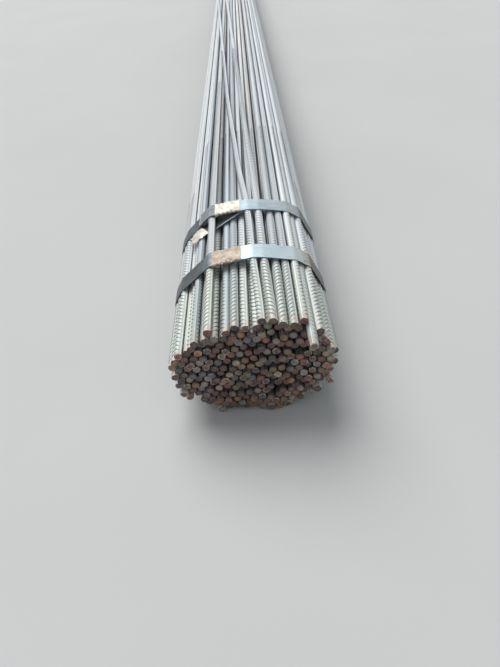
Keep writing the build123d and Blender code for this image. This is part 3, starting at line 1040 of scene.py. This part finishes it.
# %% Seal material
def seal_material():
    s = Shader("seal_sheet")
    tone, patch, worn = s.stored("facts")
    clouds = s.noise(EVEN, 120.0, 5.0, 0.65)
    grain = s.noise(EVEN, 1300.0, 3.0, 0.6)
    peach = s.ramp(clouds, [
        (0.3, (0.22, 0.15, 0.105)), (0.5, (0.43, 0.335, 0.255)), (0.7, (0.56, 0.48, 0.40)),
    ])
    cream = s.ramp(clouds, [
        (0.28, (0.42, 0.36, 0.28)), (0.5, (0.72, 0.68, 0.60)), (0.7, (0.84, 0.82, 0.75)),
    ])
    sheet = s.mix(s.times(patch, 0.6), s.mix(tone, peach, cream), (0.36, 0.19, 0.12, 1))
    bitten = s.times(s.less(1.0, worn), 0.7, True)
    return s.finish(
        Base_Color=s.mix(bitten, sheet, (0.16, 0.10, 0.065, 1)), Metallic=0.35,
        Roughness=s.add(0.36, s.times(clouds, 0.2)),
        Normal=s.bump(s.add(clouds, s.times(grain, 0.25)), 0.0007, 0.5),
    )


STRAP_SKINS = [blued, seal_material()]
SEAL_SKINS = STRAP_SKINS[1:]

# %% [markdown]
# ## The second strap's loose tail
# The spare end of the second strap slants forward under the raised bar and lies on the bars' crests.
# Every point of it takes its height from the taut line over those bars, so it drapes like the real one.
# Its tip was once crimped and torn off, so it is crinkled, has notched edges and shows bare sheet. Its
# near edge is painted bright as painted highlight.

# %% Loose tail
TAIL_ANGLE = math.radians(27)
TAIL_CENTRE = -0.006
TAIL_TIP = -0.0805
CRINKLED = 0.023


def crest_heights(y):
    """Height of the taut line over the bars that lie under the tail."""
    under = lines["inner_bars"] + lines["outer_bars"] + lines["crossing_bars"]
    points, normals = loop_line(hull(section(y, under)), INSIDE)
    tops = points[normals[:, 1] > 0.15]
    return tops[np.argsort(tops[:, 0])]


def tail(heap, y):
    """The strap's spare end as a thin slanting strip."""
    tops = crest_heights(y)
    root = section(y, lines["crossing_bars"])[0][0] + STRAP_WIDTH / 4
    length = (root - TAIL_TIP) / math.cos(TAIL_ANGLE)
    way = np.linspace(0, length, 90)
    shape = strip_section(STRAP_WIDTH, STRAP_THICK)
    across, height = shape[None, :, 0], shape[None, :, 1]
    notch = notches(way - length, (-0.006, -0.0125, -0.019), 0.0016)[:, None]
    width = across * (1 - 0.16 * notch * smooth(np.abs(across), 0.011, 0.016))
    torn = 0.0035 * np.sin(across * 190 + 0.6) * smooth(way, length - 0.006, length)[:, None]
    ahead = way[:, None] + torn
    x = root - math.cos(TAIL_ANGLE) * ahead + math.sin(TAIL_ANGLE) * width
    begin = y + (root - TAIL_CENTRE) * math.tan(TAIL_ANGLE)
    ys = begin - math.sin(TAIL_ANGLE) * ahead - math.cos(TAIL_ANGLE) * width
    ys = np.minimum(ys, y + STRAP_WIDTH / 2 - 0.0006)
    crinkle = 0.0006 * (1 + np.sin(way[:, None] * 620 + width * 330))
    crinkle = crinkle + 0.0007 * (1 + np.sin(way[:, None] * 340 - width * 560))
    crinkle = crinkle * smooth(way, length - 0.030, length - 0.004)[:, None]
    free = smooth(y - STRAP_WIDTH / 2 - ys, -0.001, 0.002)
    z = np.interp(x, tops[:, 0], tops[:, 1]) + height * (0.6 + 0.4 * free) + crinkle
    tip = way > length - CRINKLED
    # Painted highlight: the strip's near edge is given a bright value.
    rim = np.where(shape[:, 0] > STRAP_WIDTH / 2 - 0.001, 0.8, 0.0)
    bare_tip_and_lit_edge = np.maximum(rim[None], tip[:, None])
    sweep(heap, np.stack([x, ys, z], -1), tip.astype(int), way, 1.0, 0 * way, bare_tip_and_lit_edge)
    print("tail is", round(length, 3), "m long")


print("the tail slants by", round(math.degrees(TAIL_ANGLE)), "degrees")

# %% [markdown]
# ## Straps and seals in place
# The five straps differ in where they rust, how bright their tops are painted with scuff and painted
# reflection, and how old their seals look. Such differences are kept in one short list, so that the code
# above stays the same for all.

# %% Straps and seals in place
# Each row: number, overlap, rusty places, scuff and painted reflection, crumple of the seal, tone of the
# seal
STRAPS = [
    (1, 0.003, [(0.080, 0.013, 0.75), (-0.092, 0.006, 0.35)], 0.88, 0.00006, 0.0),
    (2, 0.022, [(0.096, 0.010, 0.6)], 0.68, 0.00016, 0.9),
    (3, 0.003, [(0.090, 0.015, 0.6)], 0.80, 0.00007, 0.35),
    (4, 0.003, [(-0.080, 0.015, 0.6)], 0.75, 0.00007, 0.6),
    (5, 0.003, [(0.085, 0.020, 0.8)], 0.85, 0.00007, 0.2),
]
for number, overlap, rusty, scuff_and_painted_reflection, crumple, tone in STRAPS:
    heap, path, y, middle = strap(number, overlap, rusty, scuff_and_painted_reflection)
    if number == 2:
        tail(heap, y)
    heap.make(f"strap_strip_{number}", STRAP_SKINS, f"strap_{number}", "strap_steel")
    clip = seal(number, path, y, middle, crumple, tone)
    clip.make(f"seal_clip_{number}", SEAL_SKINS, f"seal_{number}", "seal_steel")

# %% [markdown]
# ## Floor
# The bundle lies on a plain pale floor whose edges are far off. The bundle's shadow on it
# shows that the bars lie there.

# %% Floor
FLOOR_HALF = 30.0


def floor_material():
    s = Shader("pale_floor")
    clouds = s.noise(EVEN, 2.2, 4.0)
    colour = s.ramp(clouds, [(0.3, (0.62, 0.62, 0.61)), (0.7, (0.645, 0.645, 0.635))])
    return s.finish(Base_Color=colour, Roughness=0.85)


corners = [(x * FLOOR_HALF, y * FLOOR_HALF, 0) for x, y in ((-1, -1), (1, -1), (1, 1), (-1, 1))]
floor_mesh = bpy.data.meshes.new("floor")
floor_mesh.from_pydata(corners, [], [(0, 1, 2, 3)])
floor_mesh.materials.append(floor_material())
put("floor", floor_mesh)

# %% [markdown]
# ## Light
# The light is that of a bright day with thin cloud: one broad soft lamp from behind on the left, and a
# dim even surround that fills the shadows. Small lamps close by would leave hot spots on the long
# bundle, and a strong surround would wash the gaps between bars out. What is seen behind the floor, and
# mirrored in the steel, is a paler surround that adds nothing to the light on dull surfaces.

# %% Lamp
light = bpy.data.lights.new("soft_light", "SUN")
light.energy = 2.4
light.angle = math.radians(48)
lamp = put("soft_light", light)
lamp.rotation_euler = Vector((-0.28, 0.52, 0.80)).to_track_quat("Z", "Y").to_euler()
print("lamp of strength", round(light.energy, 2))

# %% Surround
world = bpy.data.worlds.new("surround")
world.use_nodes = True
tree = world.node_tree
dim = tree.nodes["Background"]
dim.inputs["Color"].default_value = (0.90, 0.95, 1.0, 1)
dim.inputs["Strength"].default_value = 0.36
pale = tree.nodes.new("ShaderNodeBackground")
pale.inputs["Color"].default_value = (0.74, 0.76, 0.78, 1)
rays = tree.nodes.new("ShaderNodeLightPath").outputs
shown = rays["Is Camera Ray"]
for kind in ("Is Glossy Ray", "Is Transmission Ray"):
    either = tree.nodes.new("ShaderNodeMath")
    either.operation = "MAXIMUM"
    tree.links.new(shown, either.inputs[0])
    tree.links.new(rays[kind], either.inputs[1])
    shown = either.outputs[0]
choice = tree.nodes.new("ShaderNodeMixShader")
for source, socket in zip((shown, dim.outputs[0], pale.outputs[0]), choice.inputs):
    tree.links.new(source, socket)
tree.links.new(choice.outputs[0], tree.nodes["World Output"].inputs["Surface"])
bpy.context.scene.world = world
bpy.context.scene.view_settings.view_transform = "Standard"
print("surround of", len(tree.nodes), "nodes")

# %% [markdown]
# ## Camera
# The camera stands where the photograph was taken: close to the near end, half a metre up, and turned a
# little. Its place and its three directions were fitted to the rims of the ends and the lines of the
# bars. They make one matrix, because three turns one after the other are easy to get wrong.

# %% Camera
RIGHT = Vector((0.99644735, -0.03000948, -0.07868999))
DOWN = Vector((-0.07894699, -0.65820803, -0.74868523))
AHEAD = Vector((-0.02932672, 0.75223774, -0.6582388))
STAND = Vector((0.016, -3.4104, 0.502))
PICTURE_HEIGHT = 667
FOCAL_PIXELS = 500
SENSOR = 36

camera = put("camera", bpy.data.cameras.new("camera"))
bpy.context.scene.camera = camera
place = Matrix((RIGHT, -DOWN, -AHEAD)).transposed().to_4x4()
place.translation = STAND
camera.matrix_world = place
camera.data.sensor_width = SENSOR
camera.data.lens = FOCAL_PIXELS / PICTURE_HEIGHT * SENSOR
camera.data.clip_start = 0.01
print("lens", round(camera.data.lens, 2), "mm")

# %% [markdown]
